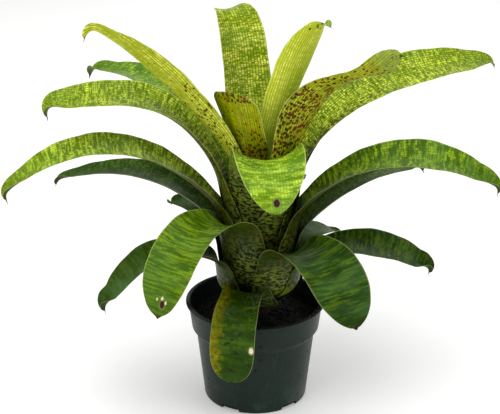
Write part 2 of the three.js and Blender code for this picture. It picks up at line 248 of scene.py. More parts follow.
pot_finish, tree, shader = new_finish("green_pot_plastic", IOR=1.5, Specular_IOR_Level=0.14)
place = add(tree, "TexCoord", out=3)
height = add(tree, "SeparateXYZ", place, out=2)
marks = use(tree, dirt, Place=place, Scale=1.0)
cloud = add(tree, "TexNoise", place, None, 14.0, 4.0, 0.55)
drag = add(tree, "Mapping", place, None, None, (1.0, 1.0, 0.12))
scuffs = ramp(tree, add(tree, "TexNoise", drag, None, 160.0, 4.0, 0.7), 0.56, 0.72)
green = blend(tree, ramp(tree, cloud, 0.3, 0.7), tint(POT_GREEN), tint(POT_GREEN_WORN))
green = blend(tree, sums(tree, "MULTIPLY", scuffs, 0.22), green, tint(POT_PALE))
low_dust = ramp(tree, height, 0.05, 0.0, 0.0, 0.5)
green = blend(tree, sums(tree, "MULTIPLY", low_dust, marks["Smears"]), green, tint(POT_PALE))
rim_soil = ramp(tree, height, 0.1, POT_HEIGHT * MM, 0.0, 0.9)
soiled = sums(tree, "MULTIPLY", rim_soil, ramp(tree, cloud, 0.5, 0.62))
soiled = sums(tree, "MAXIMUM", soiled, sums(tree, "MULTIPLY", marks["Specks"], 0.85))
green = blend(tree, soiled, green, tint(MUD))
fill(tree, shader.inputs["Base Color"], green)
rough = sums(tree, "MULTIPLY_ADD", cloud, 0.16, 0.3)
rough = sums(tree, "ADD", rough, sums(tree, "MULTIPLY", soiled, 0.4), clamp=True)
fill(tree, shader.inputs["Roughness"], rough)
dent(tree, shader, marks["Grain"], 0.12, 0.0002)

band_foot = POT_HEIGHT - BAND_HEIGHT
body_top = band_foot - SHOULDER_HEIGHT
wave = (1 - np.cos(np.pi * np.linspace(0, 1, 13))) / 2
shoulder_radius = BODY_TOP_RADIUS + (BAND_FOOT_RADIUS - BODY_TOP_RADIUS) * wave
shoulder = np.stack([shoulder_radius, np.linspace(body_top, band_foot, 13)], 1)
quarter = np.linspace(0, np.pi / 2, 7)
foot_round = np.stack(
    [FOOT_RADIUS - FOOT_ROUND * (1 - np.sin(quarter)), FOOT_ROUND * (1 - np.cos(quarter))], 1
)
lip_edge = rounded(
    [
        (BAND_TOP_RADIUS - LIP_TAPER, POT_HEIGHT - LIP_EDGE_DEPTH),
        (BAND_TOP_RADIUS, POT_HEIGHT - LIP_THICKNESS),
        (LIP_RADIUS, POT_HEIGHT - LIP_THICKNESS),
        (LIP_RADIUS, POT_HEIGHT),
        (BAND_TOP_RADIUS - POT_WALL, POT_HEIGHT),
        (BAND_TOP_RADIUS - POT_WALL - LIP_TAPER, POT_HEIGHT - LIP_EDGE_DEPTH),
    ],
    LIP_EDGE_ROUND,
)
inner_wall = [(radius - POT_WALL, z) for radius, z in shoulder[::-1]]
rise = np.linspace(0.2, 0.8, 4)
body_radius = FOOT_RADIUS + (BODY_TOP_RADIUS - FOOT_RADIUS) * rise
pot_profile = [
    (0, 0),
    (UNDERSIDE_RING, 0),
    *foot_round,
    *zip(body_radius, FOOT_ROUND + (body_top - FOOT_ROUND) * rise),
    *shoulder,
    *lip_edge[1:-1],
    *inner_wall,
    (FOOT_RADIUS - POT_WALL, POT_FLOOR),
    (0, POT_FLOOR),
]
points, faces = turned(pot_profile, POT_SEGMENTS)
pot = new_piece("nursery_pot", points, faces, pot_finish, ["pot"], sharp=POT_SHARP_ANGLE)


def slot_cutter(turn):
    """A closed block whose outline is a superellipse, turned to its place at the pot's foot."""
    reach = SLOT_REACH + POT_WALL + FOOT_ROUND
    count = CUTTER_SIDES
    angle = np.linspace(0, 2 * np.pi, count, endpoint=False)
    across = SLOT_WIDTH / 2 * np.sign(np.cos(angle)) * np.abs(np.cos(angle)) ** SLOT_SQUARENESS
    rise = SLOT_HEIGHT * np.sign(np.sin(angle)) * np.abs(np.sin(angle)) ** SLOT_SQUARENESS
    near, far = FOOT_RADIUS + POT_WALL - reach, FOOT_RADIUS + POT_WALL
    rings = [np.stack([np.full(count, x), across, rise], 1) for x in (near, far)]
    points = np.vstack(rings) @ np.array(
        [[math.cos(turn), math.sin(turn), 0], [-math.sin(turn), math.cos(turn), 0], [0, 0, 1]]
    )
    sides = [[i, count + i, count + (i + 1) % count, (i + 1) % count] for i in range(count)]
    ends = [list(range(count - 1, -1, -1)), list(range(count, 2 * count))]
    form = bpy.data.meshes.new("slot_cutter")
    form.from_pydata((points * MM).tolist(), [], sides + ends)
    cutter = bpy.data.objects.new("slot_cutter", form)
    bpy.context.scene.collection.objects.link(cutter)
    return cutter


# Each slot is cut out of the foot by its own block, which is thrown away afterwards.
for i in range(SLOT_COUNT):
    cutter = slot_cutter(math.radians(FIRST_SLOT_TURN + 360 * i / SLOT_COUNT))
    cut = pot.modifiers.new("slot", "BOOLEAN")
    cut.object, cut.operation, cut.solver = cutter, "DIFFERENCE", "EXACT"
    bpy.context.view_layer.update()
    made = bpy.data.meshes.new_from_object(pot.evaluated_get(bpy.context.evaluated_depsgraph_get()))
    pot.modifiers.clear()
    pot.data = made
    bpy.data.objects.remove(cutter)
pot.data.shade_smooth()
pot.data.set_sharp_from_angle(angle=math.radians(POT_SHARP_ANGLE))

# ---------------------------------------------------------------- potting mix
# Moist black peat with bark fines, pressed in by hand round the stem: a low uneven mound of clods
# that meets the pot's wall, with loose crumbs on it and some spilt on the lip.
MIX_DEPTH = 17.0
MIX_MOUND = 4.0
MIX_GAP = 0.3
CLOD_HEIGHT = 1.3
CRUMB_COUNT = 620
SPILT_COUNT = 170
SPILL_TURN = -48
SPILL_SPREAD = 34
PEAT = "#0b0907"
PEAT_BROWN = "#1d1510"
BARK_FIBRE = "#3a2b1e"
PALE_GRIT = "#5f574c"

mix_finish, tree, shader = new_finish("black_peat", Specular_IOR_Level=0.25)
place = add(tree, "TexCoord", out=3)
clods = add(tree, "TexNoise", place, None, 420.0, 6.0, 0.7)
drawn = add(tree, "Mapping", place, None, (0.3, 0.5, 0.9), (1.0, 0.25, 1.0))
fibre = add(tree, "TexNoise", drawn, None, 900.0)
brown = blend(tree, ramp(tree, clods, 0.42, 0.72), tint(PEAT), tint(PEAT_BROWN))
brown = blend(tree, ramp(tree, fibre, 0.68, 0.78, 0.0, 0.5), brown, tint(BARK_FIBRE))
marks = use(tree, dirt, Place=place, Scale=1.4)
brown = blend(tree, sums(tree, "MULTIPLY", marks["Specks"], 0.35), brown, tint(PALE_GRIT))
fill(tree, shader.inputs["Base Color"], brown)
fill(tree, shader.inputs["Roughness"], ramp(tree, clods, 0.3, 0.7, 0.95, 0.7))
dent(tree, shader, clods, 0.8, 0.001)

mix_level = POT_HEIGHT - MIX_DEPTH
rim_inside = BAND_TOP_RADIUS - POT_WALL
band_inside = BAND_FOOT_RADIUS - POT_WALL
mix_radius = band_inside + (rim_inside - band_inside) * (mix_level - band_foot) / BAND_HEIGHT - MIX_GAP


def clod_height(x, y):
    """The mix's top: a mound falling with the square of the radius, and clods as a sum of waves in
    eighteen directions, each shorter wave lower than the one before."""
    out = np.hypot(x, y) / mix_radius
    rng = np.random.default_rng(11)
    rough = np.zeros_like(x)
    for step in range(18):
        length = 26 * 0.86**step
        turn, shift = rng.uniform(0, 2 * np.pi, 2)
        rough += np.sin((x * np.cos(turn) + y * np.sin(turn)) * 2 * np.pi / length + shift) * 0.93**step
    return mix_level + MIX_MOUND * (1 - np.minimum(out, 1) ** 2) + CLOD_HEIGHT * rough / 4


segments, rings = 220, 80
turn = np.linspace(0, 2 * np.pi, segments, endpoint=False)
out = mix_radius * np.linspace(0, 1, rings + 1)[:0:-1]
x, y = out[:, None] * np.cos(turn), out[:, None] * np.sin(turn)
top = np.stack([x, y, clod_height(x, y)], -1)
side_profile = [
    (FOOT_RADIUS - POT_WALL - MIX_GAP, POT_FLOOR + MIX_GAP),
    (BODY_TOP_RADIUS - POT_WALL - MIX_GAP, body_top),
    (BAND_FOOT_RADIUS - POT_WALL - MIX_GAP, band_foot),
]
side = np.stack([
    np.stack([r * np.cos(turn), r * np.sin(turn), np.full(segments, z)], 1) for r, z in side_profile
])
under, over = [0, 0, POT_FLOOR + MIX_GAP], [0, 0, clod_height(0.0, 0.0)]
points, faces = closed_rings(np.concatenate([side, top]), under, over)
new_piece("potting_mix_mound", points, faces, mix_finish, ["potting_mix"])


def crumb_shapes(places, sizes, rng):
    """Crumbs as stretched octahedra cut once finer: 18 points on a lumpy ball each, flattened,
    turned about the vertical and put in place, for all crumbs at once."""
    corners = np.array([[1, 0, 0], [-1, 0, 0], [0, 1, 0], [0, -1, 0], [0, 0, 1], [0, 0, -1]], float)
    facets = [(0, 2, 4), (2, 1, 4), (1, 3, 4), (3, 0, 4), (2, 0, 5), (1, 2, 5), (3, 1, 5), (0, 3, 5)]
    ball, fine, seen = list(corners), [], {}

    def middle(i, j):
        key = (min(i, j), max(i, j))
        if key not in seen:
            seen[key] = len(ball)
            ball.append((ball[i] + ball[j]) / np.linalg.norm(ball[i] + ball[j]))
        return seen[key]

    for i, j, k in facets:
        ij, jk, ki = middle(i, j), middle(j, k), middle(k, i)
        fine += [(i, ij, ki), (ij, j, jk), (ki, jk, k), (ij, jk, ki)]
    ball, count = np.array(ball), len(places)
    lumps = ball[None] * rng.uniform(0.7, 1.25, (count, len(ball), 1))
    lumps *= rng.uniform(0.6, 1.4, (count, 1, 3)) * [1, 1, 0.7]
    turn = rng.uniform(0, 2 * np.pi, count)[:, None]
    x = lumps[..., 0] * np.cos(turn) - lumps[..., 1] * np.sin(turn)
    y = lumps[..., 0] * np.sin(turn) + lumps[..., 1] * np.cos(turn)
    lumps = np.stack([x, y, lumps[..., 2]], -1) * np.asarray(sizes)[:, None, None]
    points = (lumps + np.asarray(places)[:, None]).reshape(-1, 3)
    faces = (np.array(fine)[None] + np.arange(count)[:, None, None] * len(ball)).reshape(-1, 3)
    return points, faces.tolist()


rng = np.random.default_rng(23)
radius = mix_radius * np.sqrt(rng.uniform(0.08, 0.97, CRUMB_COUNT))
turn = rng.uniform(0, 2 * np.pi, CRUMB_COUNT)
x, y = radius * np.cos(turn), radius * np.sin(turn)
loose = np.stack([x, y, clod_height(x, y) + 0.3], 1)
sizes = rng.gamma(3.0, 0.33, CRUMB_COUNT).clip(0.4, 2.2)
spill_turn = np.radians(rng.normal(SPILL_TURN, SPILL_SPREAD, SPILT_COUNT))
spill_out = rng.uniform(BAND_TOP_RADIUS - POT_WALL + 0.3, LIP_RADIUS - 0.4, SPILT_COUNT)
x, y = spill_out * np.cos(spill_turn), spill_out * np.sin(spill_turn)
spilt = np.stack([x, y, np.full(SPILT_COUNT, POT_HEIGHT + 0.2)], 1)
sizes = np.r_[sizes, rng.gamma(3.0, 0.28, SPILT_COUNT).clip(0.3, 1.6)]
points, faces = crumb_shapes(np.vstack([loose, spilt]), sizes, rng)
new_piece("peat_crumbs", points, faces, mix_finish)

# ---------------------------------------------------------------- stem
# The short woody stem that carries every leaf: dark and corky, ringed by the scars of leaves that
# have died off, half buried in the mix and hidden higher up by the living sheaths.
STEM_X = 4.0
STEM_RADIUS = 13.0
STEM_BURIED = 30.0
COLLAR_RADIUS = 14.5
CROWN_RADIUS = 5.0
COLLAR_HEIGHT = 117.0
LEAF_RISE = 1.6
LAST_ORDER = 23
SCAR_PITCH = 2.6
SCAR_DEPTH = 0.35
CORK_DARK = "#17100a"
CORK_PALE = "#4a3523"

stem_finish, tree, shader = new_finish("corky_stem", Specular_IOR_Level=0.3)
place = add(tree, "TexCoord", out=3)
flat = add(tree, "Mapping", place, None, None, (1.0, 1.0, 4.0))
ringed = add(tree, "TexNoise", flat, None, 260.0, 5.0)
cork = blend(tree, ramp(tree, ringed, 0.35, 0.65), tint(CORK_DARK), tint(CORK_PALE))
fill(tree, shader.inputs["Base Color"], cork)
fill(tree, shader.inputs["Roughness"], ramp(tree, ringed, 0.3, 0.7, 0.95, 0.75))
dent(tree, shader, ringed, 0.7, 0.0008)

stem_foot = mix_level - STEM_BURIED
crown_height = COLLAR_HEIGHT + LAST_ORDER * LEAF_RISE
knots_z = [stem_foot, stem_foot + 4, mix_level + MIX_MOUND + 6, COLLAR_HEIGHT, crown_height]
knots_r = [STEM_RADIUS - 2, STEM_RADIUS, STEM_RADIUS, COLLAR_RADIUS - 0.6, CROWN_RADIUS - 0.6]
z = np.linspace(stem_foot, crown_height, 150)
scars = -SCAR_DEPTH * (1 + np.cos(2 * np.pi * z / SCAR_PITCH)) / 2
points, faces = turned(
    [(0, stem_foot), *zip(np.interp(z, knots_z, knots_r) + scars, z), (0, crown_height + 2)], 96
)
points[:, 0] += STEM_X
new_piece("ringed_stem", points, faces, stem_finish, ["stem"])

# ---------------------------------------------------------------- leaves
# Twenty-four strap leaves in a spiral, from the oldest outside to the heart. Each starts as a wide
# sheath wrapped round the stem, climbs the wall of the cup, and arches over as a channelled blade.
HEART_RADIUS = 6.0
VASE_SLACK = 20.0
VASE_CROWDING = 0.53
BOWL_HEIGHT = 20.0
FLARE_FROM = 125.0
FLARE_HEIGHT = 165.0
FLARE = 27.0
FLARE_POWER = 1.4
HEART_FLARE = 0.35
FULL_FLARE_ORDER = 5
SHEATH_HALF_WIDTH = 36.0
SHEATH_WRAP = 75.0
LEAF_THICKNESS = 1.0
BLADE_THICKNESS = 0.8
RIM_ROUNDNESS = 8
ROWS_ALONG = 210
ROWS_ACROSS = 28
SPINE_LENGTH = 3.0
SPINE_CURL = 900
WAIST_PLACE = 0.7
WAIST_LENGTH = 0.2
BOWL_STEPS = 31
WALL_STEPS = 30
BLADE_STEPS = 240
RIPPLES = ((61, 0.35), (37, 0.25), (19, 0.12))
FIRST_MOTTLED = 5

# A row holds what one leaf has of its own. Its shape: its place in the spiral (order, 0 is the
# innermost), the bearing it leaves at (turn), the height where its blade starts (leaves), the blade's
# length and width, and at equal steps along it its climb (lean), change of bearing (swing), twist
# (roll) and cupping (cup), all in degrees; how far its tip curls (hook) and from where (hookFrom),
# folds (pinch) or is drawn back in mm (notch); how wide it starts (neck), where it is widest (peak),
# how blunt it ends (point), how soon it bends (soft), a narrow place (waist), a wider sheath and the
# length of its spine. Its looks: the green and its windows (base, cell), the back and its stripes
# (back, stripe), how many windows (glow), their width, length, share of arcs and strength of net
# (cells), wax bloom that is partly a painted grey sheen (bloom_and_sheen), spots and rust on the
# back, freckles on the face, spots at the tip (tip), a dull end, a yellowed margin, and dry scars as
# (across, along, radius, pale or not).
LEAVES = [
    dict(name="front_low", order=23, turn=254, leaves=139, length=119, width=50,
         lean=[12, -38, -77, -86], cup=[40, 25, 10], hook=0, point=5, soft=14,
         base="#223b02", cell="#446002", glow=0.4, notch=5, pinch=0, yellow=0.7,
         scars=[(21, 80, 2.6, 1)], spine=1.0, cells=(4.4, 4.0, 0.6, 0.1), bloom_and_sheen=0.1),
    dict(name="back_low_right", order=22, turn=46, leaves=147, length=110, width=50,
         lean=[40, 8, -18, -40], cup=[40, 30, 15], hook=30),
    dict(name="back_low", order=21, turn=112, leaves=149, length=150, width=54,
         lean=[38, 8, -24, -50], cup=[40, 30, 15], hook=30),
    dict(name="left_low", order=20, turn=200, leaves=155, length=166, width=58,
         lean=[44, 8, -34, -60], cup=[40, 30, 15], hook=30,
         base="#2f4906", cell="#4b621e", bloom_and_sheen=0.5, pinch=120, glow=0.6, cells=(4.0, 3.0, 0.6, 0.35)),
    dict(name="right_low", order=19, turn=352, leaves=150, length=164, width=56,
         lean=[44, 14, -10, -36], cup=[40, 30, 15], roll=[0, -5, -10, -10], hook=55,
         base="#183302", cell="#5f760c", pinch=110, glow=0.6, cells=(4.0, 3.0, 0.6, 0.35)),
    dict(name="front_right", order=18, turn=308, leaves=172, length=148, width=77,
         lean=[46, 2, -42, -54], cup=[45, 25, 15], hook=0, point=3.4,
         base="#183100", cell="#547207", glow=0.55, bloom_and_sheen=0.45,
         cells=(4.4, 2.4, 0.8, 0.2), notch=2.5, pinch=0, spine=1.5),
    dict(name="back_left", order=17, turn=151, leaves=174, length=86, width=50,
         lean=[54, 36, 12, -14], cup=[40, 35, 20], hook=60),
    dict(name="back_right", order=16, turn=78, leaves=176, length=180, width=54,
         lean=[38, 10, -18, -46], cup=[40, 35, 20]),
    dict(name="right_under", order=15, turn=16, leaves=184, length=172, width=58,
         lean=[48, 34, 14, -10], cup=[40, 35, 20]),
    dict(name="left_under", order=14, turn=170, leaves=190, length=216, width=54,
         lean=[54, 28, -2, -24], cup=[45, 35, 20], point=1.9, base="#2a4a08", bloom_and_sheen=0.25, cell="#6a8c20"),
    dict(name="front_left", order=13, turn=231, leaves=200, length=174, width=65,
         lean=[54, 2, -48, -70], cup=[45, 25, 15], hook=0, point=4, neck=0.95,
         base="#3e5c02", cell="#7c9c18", glow=0.75, bloom_and_sheen=0.35, cells=(4.2, 2.4, 0.8, 0.25), notch=2.5,
         pinch=0,
         scars=[(3, 161, 3.4, 0), (1, 155, 1.4, 1), (7, 158, 1.2, 1), (-5, 157, 1.0, 1)], spine=1.5),
    dict(name="right_mid", order=12, turn=353, leaves=208, length=256, width=58,
         lean=[58, 30, -5, -40], cup=[45, 30, 20], roll=[0, -6, -14, -10], hook=50, hookFrom=0.95,
         base="#446602", cell="#a6c626", bloom_and_sheen=0.4, glow=0.6,
         cells=(3.6, 3.0, 0.6, 0.55), freckles=0.5, spots=0.9),
    dict(name="left_mid", order=11, turn=190, leaves=212, length=285, width=56,
         lean=[58, 32, -10, -50], cup=[45, 30, 20], roll=[0, 4, 6, 5], hook=50, hookFrom=0.95,
         base="#738e05", cell="#e3fd50", bloom_and_sheen=0.35, glow=0.6,
         cells=(3.4, 2.6, 0.6, 0.55), freckles=0.5, spots=0.9),
    dict(name="back_mid", order=10, turn=106, leaves=214, length=195, width=56,
         lean=[44, 18, -10, -42], cup=[38, 35, 20]),
    dict(name="right_back", order=9, turn=42, leaves=240, length=190, width=56,
         lean=[64, 42, 17, -8], cup=[40, 35, 20], hook=50, base="#5a8008", cell="#a8cc3c"),
    dict(name="left_back", order=8, turn=146, leaves=242, length=238, width=58,
         lean=[64, 44, 10, -14], cup=[40, 35, 20], hook=50, base="#5a8008", cell="#a8cc3c"),
    dict(name="left_high", order=7, turn=182, leaves=248, length=244, width=58,
         lean=[74, 46, 2, -12], cup=[50, 35, 20], roll=[0, 6, 12, 12], hook=80, hookFrom=0.9, point=4,
         base="#7b9702", cell="#ebfd53", glow=0.8, cells=(3.1, 2.8, 0.45, 0.8), freckles=0.95,
         pinch=50, spots=1.3),
    dict(name="right_high", order=6, turn=19, leaves=256, length=281, width=55,
         lean=[70, 34, 9, -8], cup=[42, 28, 15], roll=[0, -12, -24, -20], hook=50, hookFrom=0.94,
         base="#799102", cell="#eafa52", glow=0.8, freckles=0.9, cells=(3.0, 3.0, 0.4, 0.85), pinch=40,
         spots=1.3),
    dict(name="front_top", order=5, turn=278, leaves=283, length=96, width=82,
         lean=[50, 0, -48, -55], cup=[50, 25, 10], hook=0, peak=0.12, neck=1, point=2, sheath=42,
         base="#6f9504", cell="#cceb4a", glow=0.7, bloom_and_sheen=0.45, cells=(3.0, 2.7, 0.6, 0.5), notch=1.5,
         pinch=0,
         scars=[(2, 84, 3.6, 0)], spine=1.0),
    dict(name="right_spotted", order=4, turn=326, leaves=286, length=194, width=60,
         lean=[80, 58, 27, 48], cup=[60, 45, 15], roll=[0, 20, 22, 90], peak=0.3,
         back="#7e8400", stripe="#d0d444", spots=2.2, rust=1.1, waist=0.4, dull=0.5),
    dict(name="top", order=3, turn=107, leaves=270, length=180, width=57,
         lean=[80, 79, 75, 30], cup=[45, 30, 20], swing=[0, 9, 20], hook=80, hookFrom=0.84, point=6,
         base="#95ad02", cell="#fdfd6c", glow=0.75, notch=3, pinch=0, cells=(3.2, 2.8, 0.4, 0.85),
         spine=1.0),
    dict(name="upper_left", order=2, turn=194, leaves=263, length=242, width=58,
         lean=[66, 51, 45, 28], cup=[60, 60, 30], roll=[0, -15, -22, -15], hook=95, hookFrom=0.91,
         back="#8c9800", stripe="#eef268", spots=0.8, rust=0.7),
    dict(name="upper_right", order=0, turn=330, leaves=270, length=188, width=56,
         lean=[77, 73, 69, 58], cup=[60, 60, 30], roll=[0, 10, 20, 10], hook=80, hookFrom=0.9,
         back="#aebb02", stripe="#fcff86", spots=0.15, rust=0.1, pinch=10, tip=1.0, point=4.5),
    dict(name="heart", order=1, turn=224, leaves=266, length=100, width=66,
         lean=[76, 76, 75, 76], cup=[60, 40, 24], roll=[0, 0, -3, -6], hook=0, point=8,
         back="#7e8400", stripe="#b6bc1c", spots=1.5, rust=1.0, notch=5, pinch=0, spine=1.0, tip=2.2),
]


def ease(a, b, x):
    """0 up to a, 1 from b, and a smooth cubic step between them."""
    t = np.clip((x - a) / (b - a), 0, 1)
    return t * t * (3 - 2 * t)


def curve(values, t):
    """A smooth curve through values at equal steps over 0..1: cubic pieces whose slope at a value
    is the harmonic mean of its two gaps, or level where the gaps change sign."""
    values = np.array(values, float)
    last, gaps = len(values) - 1, np.diff(values)
    slopes = np.zeros(last + 1)
    slopes[0], slopes[-1] = gaps[0], gaps[-1]
    for i in range(1, last):
        a, b = gaps[i - 1], gaps[i]
        slopes[i] = 2 * a * b / (a + b) if a * b > 0 else 0
    t = np.clip(t, 0, 1)
    i = np.minimum((t * last).astype(int), last - 1)
    x = t * last - i
    step = values[i] + x * x * (3 - 2 * x) * gaps[i]
    return step + x * (1 - x) ** 2 * slopes[i] + x * x * (x - 1) * slopes[i + 1]


def flare(leaf, z):
    """How far a sheath has flared out at height z: a power of the height above the cup's foot."""
    share = HEART_FLARE + (1 - HEART_FLARE) * min(leaf["order"] / FULL_FLARE_ORDER, 1)
    return share * FLARE * np.clip((z - FLARE_FROM) / FLARE_HEIGHT, 0, None) ** FLARE_POWER


def midrib(leaf):
    """The rib from the stem to the tip: a quarter ellipse out from the stem, the wall of the cup,
    then steps whose climb, bearing and roll follow the leaf's curves, and a short spine. Gives the
    points, their way along it, climb, bearing, roll and radius, and where the blade starts."""
    share = leaf["order"] / LAST_ORDER
    wall = HEART_RADIUS + leaf["order"] * LEAF_THICKNESS + VASE_SLACK * share**VASE_CROWDING
    collar = CROWN_RADIUS + (COLLAR_RADIUS - CROWN_RADIUS) * share
    foot = COLLAR_HEIGHT + (LAST_ORDER - leaf["order"]) * LEAF_RISE
    quarter = np.linspace(0, np.pi / 2, BOWL_STEPS)
    z = foot + BOWL_HEIGHT * (1 - np.cos(quarter))
    out = collar + (wall - collar) * np.sin(quarter) + flare(leaf, z)
    step = np.arange(1, WALL_STEPS + 1) / WALL_STEPS
    rise = foot + BOWL_HEIGHT + (leaf["leaves"] - foot - BOWL_HEIGHT) * step
    out, z = np.r_[out, wall + flare(leaf, rise)], np.r_[z, rise]
    way = math.radians(leaf["turn"])
    ribs = np.stack([STEM_X + out * math.cos(way), out * math.sin(way), z], 1)
    climb = np.degrees(np.arctan2(np.gradient(z), np.gradient(out)))

    length, wall_rows = leaf["length"], len(z)
    spine = int(BLADE_STEPS * leaf.get("spine", SPINE_LENGTH) / length)
    t = np.arange(1, BLADE_STEPS + spine + 1) / BLADE_STEPS
    bend = leaf.get("hook", 40) * ease(leaf.get("hookFrom", 0.93), 1, t) ** 1.2
    bend += np.clip(t - 1, 0, None) * SPINE_CURL
    soft = ease(0, leaf.get("soft", 22) / length, t)
    lean = climb[-1] + (curve(leaf["lean"], t) - bend - climb[-1]) * soft
    bearing = leaf["turn"] + curve(leaf.get("swing", [0, 0]), t)
    e, p = np.radians(lean), np.radians(bearing)
    walk = np.stack([np.cos(e) * np.cos(p), np.cos(e) * np.sin(p), np.sin(e)], 1)
    ribs = np.vstack([ribs, ribs[-1] + np.cumsum(walk * length / BLADE_STEPS, 0)])
    along = np.r_[0, np.cumsum(np.linalg.norm(np.diff(ribs, axis=0), axis=1))]
    facts = np.stack([
        np.r_[climb, lean],
        np.r_[np.full(wall_rows, leaf["turn"]), bearing],
        np.r_[np.zeros(wall_rows), curve(leaf.get("roll", [0, 0]), t)],
        np.r_[out, np.full(len(t), out[-1])],
    ])
    return ribs, along, facts, along[wall_rows - 1]


def leaf_surface(leaf):
    """Middle surface of a leaf on a grid of (along, across). Every cross-section is an arc of a
    circle: level and as wide as the cup in the sheath, square to the rib and cupped in the blade.
    The end of the grid is drawn back where the tip is notched, a waist narrows it by a bell curve,
    and the margins ripple by three waves that grow with the cube of the way out."""
    ribs, along, facts, edge = midrib(leaf)
    length, total = leaf["length"], along[-1]
    rng = np.random.default_rng(100 + leaf["order"])
    v = np.sin(np.linspace(-1, 1, ROWS_ACROSS + 1) * np.pi / 2 * 0.86) / math.sin(np.pi / 2 * 0.86)
    step = np.linspace(0, 1, ROWS_ALONG + 1)
    step = step + 0.05 * np.sin(2 * np.pi * step) / np.pi
    notch = leaf.get("notch", 0) * (0.5 + 0.5 * np.cos(np.pi * (v - rng.uniform(-0.3, 0.3)) * 1.7))
    notch += leaf.get("notch", 0) * 0.35 * np.sin(7 * v + rng.uniform(0, 6))
    s = step[:, None] * (total - np.clip(notch, 0, None) * ease(0.6, 1, step)[:, None])
    at = [np.interp(s, along, row) for row in (*ribs.T, *facts)]
    centre = np.stack(at[:3], -1)
    e, p, roll, radius = np.radians(at[3]), np.radians(at[4]), np.radians(at[5]), at[6]
    t = (s - edge) / length
    u = np.clip(t, 0, 1)

    zero = np.zeros_like(e)
    across = np.stack([-np.sin(p), np.cos(p), zero], -1)
    inward = np.stack([-np.cos(p), -np.sin(p), zero], -1)
    up = inward * np.sin(e)[..., None]
    up[..., 2] = np.cos(e)
    square = ease(-0.1, 0.06, t)[..., None]
    face = inward * (1 - square) + up * square
    face /= np.linalg.norm(face, axis=-1, keepdims=True)
    c, n = np.cos(roll)[..., None], np.sin(roll)[..., None]
    face, side = face * c + across * n, across * c - face * n

    peak, neck = leaf.get("peak", 0.45), leaf.get("neck", 0.8)
    swell = neck + (1 - neck) * ease(-0.05, peak, u)
    narrowing = np.clip((u - peak) / (1 - peak), 0, 1) ** leaf.get("point", 2.6)
    blade = leaf["width"] / 2 * swell * (1 - narrowing) ** 0.62
    blade *= 1 - leaf.get("waist", 0) * np.exp(-(((u - WAIST_PLACE) / WAIST_LENGTH) ** 2))
    blade = np.maximum(blade, 1.1 * np.clip(1 - (t - 1) * length / SPINE_LENGTH, 0.12, 1))
    wrap = np.minimum(leaf.get("sheath", SHEATH_HALF_WIDTH), math.radians(SHEATH_WRAP) * radius)
    half = wrap + (blade - wrap) * ease(-25, 30, s - edge)
    pinch = leaf.get("pinch", 70) * ease(0.86, 1.0, u)
    cup = np.radians(curve(leaf["cup"], u) + pinch) / np.maximum(blade, 4)
    bend = 1 / radius + (cup - 1 / radius) * ease(0, 50, s - edge)

    angle = v * half * bend
    points = centre + face * ((1 - np.cos(angle)) / bend)[..., None]
    points += side * (np.sin(angle) / bend)[..., None]
    waves = sum(
        np.sin(s * 2 * np.pi / wave + rng.uniform(0, 6) + 2.1 * np.sign(v)) * size
        for wave, size in RIPPLES
    )
    lift = waves * np.abs(v) ** 3 * ease(0.05, 0.35, u)
    points += face * lift[..., None]
    return points, dict(across=v * half, along=s - edge, reach=t, margin=np.abs(v) + 0 * s)


def leaf_piece(leaf, finish):
    """Both faces of a leaf round its middle surface: half the thickness out along the true normal,
    thinning towards the margins as a superellipse, closed at the foot and in a point at the tip."""
    middle, facts = leaf_surface(leaf)
    normal = np.cross(np.gradient(middle, axis=0), np.gradient(middle, axis=1))
    normal /= -np.maximum(np.linalg.norm(normal, axis=-1, keepdims=True), 1e-9)
    rows, cols = middle.shape[:2]
    thick = BLADE_THICKNESS * np.sqrt(np.clip(1 - facts["margin"] ** RIM_ROUNDNESS, 0, 1))
    thick *= np.sqrt(1 - np.linspace(0, 1, rows) ** 60)[:, None] * 0.9 + 0.1
    middle = middle + normal * LEAF_THICKNESS / 2
    upper = middle - normal * thick[..., None] / 2
    lower = (middle + normal * thick[..., None] / 2)[:, 1:-1]
    ring = np.concatenate([upper, lower[:, ::-1]], 1)
    around = ring.shape[1]
    tip = ring[-1].mean(0) + (middle[-1, cols // 2] - middle[-3, cols // 2])
    points = np.vstack([ring.reshape(-1, 3), tip])
    faces = ring_quads(rows, around) + fan(len(points) - 1, (rows - 1) * around + np.arange(around))
    above = np.arange(cols)
    below = (around - above) % around
    foot = np.stack([above[1:], above[:-1], below[:-1], below[1:]], -1)
    # The two faces share their margins' points, so the foot's strip ends in triangles.
    faces += [list(dict.fromkeys(face)) for face in foot.tolist()]

    def both(grid):
        """A value for each point: along the upper face, back along the lower one, and the tip."""
        return np.append(np.concatenate([grid, grid[:, -2:0:-1]], 1).ravel(), grid[-1, 0])

    piece = new_piece(leaf["name"] + "_leaf", points, faces, finish, [leaf["name"]])
    under = np.concatenate([np.zeros((rows, cols)), np.ones((rows, cols - 2))], 1)
    under[:, [0, cols - 1]] = 0.5
    place = np.stack([both(facts["across"]), both(facts["along"]), both(facts["margin"])], 1)
    spread = piece.data.attributes.new("run", "FLOAT_VECTOR", "POINT")
    spread.data.foreach_set("vector", place.ravel().astype(np.float32))
    for key, values in (("reach", both(facts["reach"])), ("under", np.append(under.ravel(), 0.5))):
        layer = piece.data.attributes.new(key, "FLOAT", "POINT")
        layer.data.foreach_set("value", values.astype(np.float32))


def wander(tree, run, reach, pitch):
    """Shifts a place on the leaf by a slow noise, so that rows of marks run a little crooked."""
    slow = add(tree, "TexNoise", run, None, 1 / pitch, 2.0, out=1)
    moved = add(tree, "VectorMath", slow, (0.5, 0.5, 0.5), operation="SUBTRACT")
    scale = add(tree, "VectorMath", moved, None, None, reach, operation="SCALE")
    return add(tree, "VectorMath", run, scale, operation="ADD")


